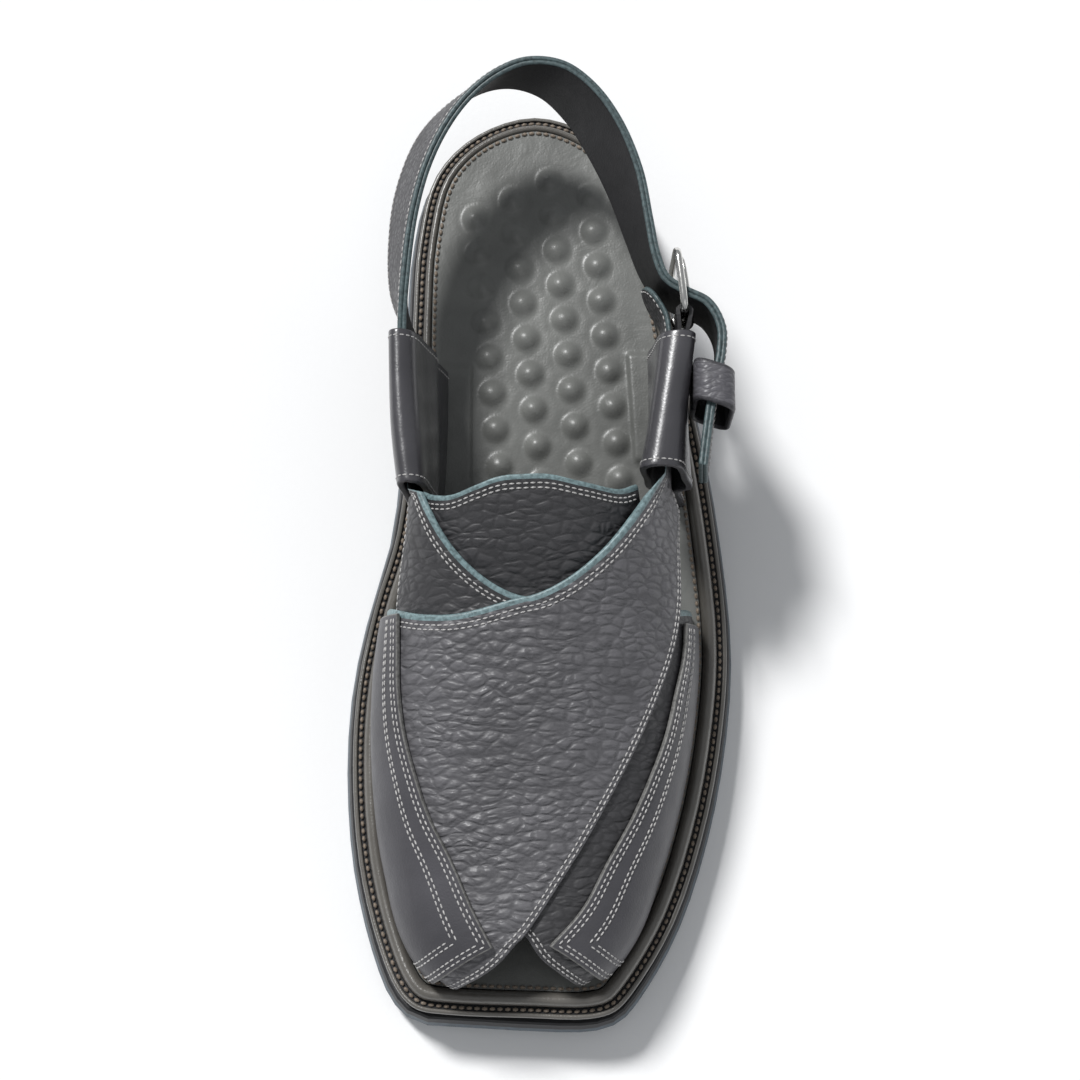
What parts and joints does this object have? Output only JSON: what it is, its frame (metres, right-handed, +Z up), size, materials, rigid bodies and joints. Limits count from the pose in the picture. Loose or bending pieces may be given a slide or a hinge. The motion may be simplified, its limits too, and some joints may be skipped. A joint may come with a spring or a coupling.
{
  "type": "peshawari chappal",
  "caption": "Left leather sandal with crossed closed wings over the forefoot, an instep tongue, side loops, a buckled heel strap and a knobbed footbed on a stitched sole.",
  "frame": {"origin": "centre of the standing footprint, on the floor", "axes": "+Y to the heel, -Y to the toe, +X to the outer side of the left foot, +Z up from the floor"},
  "size_m": [0.1209, 0.2909, 0.0867],
  "materials": {
    "heel_rubber": "matt black rubber",
    "outsole_rubber": "blue grey moulded sole edge",
    "midsole_rubber": "matt black",
    "welt_leather": "waxed taupe leather",
    "footbed_leather": "smooth grey, half gloss",
    "pebbled_leather": "pebbled dark grey, half gloss",
    "smooth_leather": "smooth dark grey, half gloss",
    "nickel": "polished nickel"
  },
  "bodies": {
    "root": {"heel": "heel_rubber", "outsole": "outsole_rubber", "midsole": "midsole_rubber", "welt": "welt_leather", "rand": "welt_leather", "footbed": "footbed_leather", "tongue": "pebbled_leather", "upper": "pebbled_leather", "medial_panel": "smooth_leather", "lateral_panel": "smooth_leather", "medial_loop": "smooth_leather", "lateral_loop": "smooth_leather", "heel_strap": "smooth_leather", "buckle_guard": "smooth_leather", "buckle_anchor": "smooth_leather", "buckle_frame": "nickel", "buckle_prong": "nickel", "keeper": "smooth_leather"}
  },
  "joints": []
}
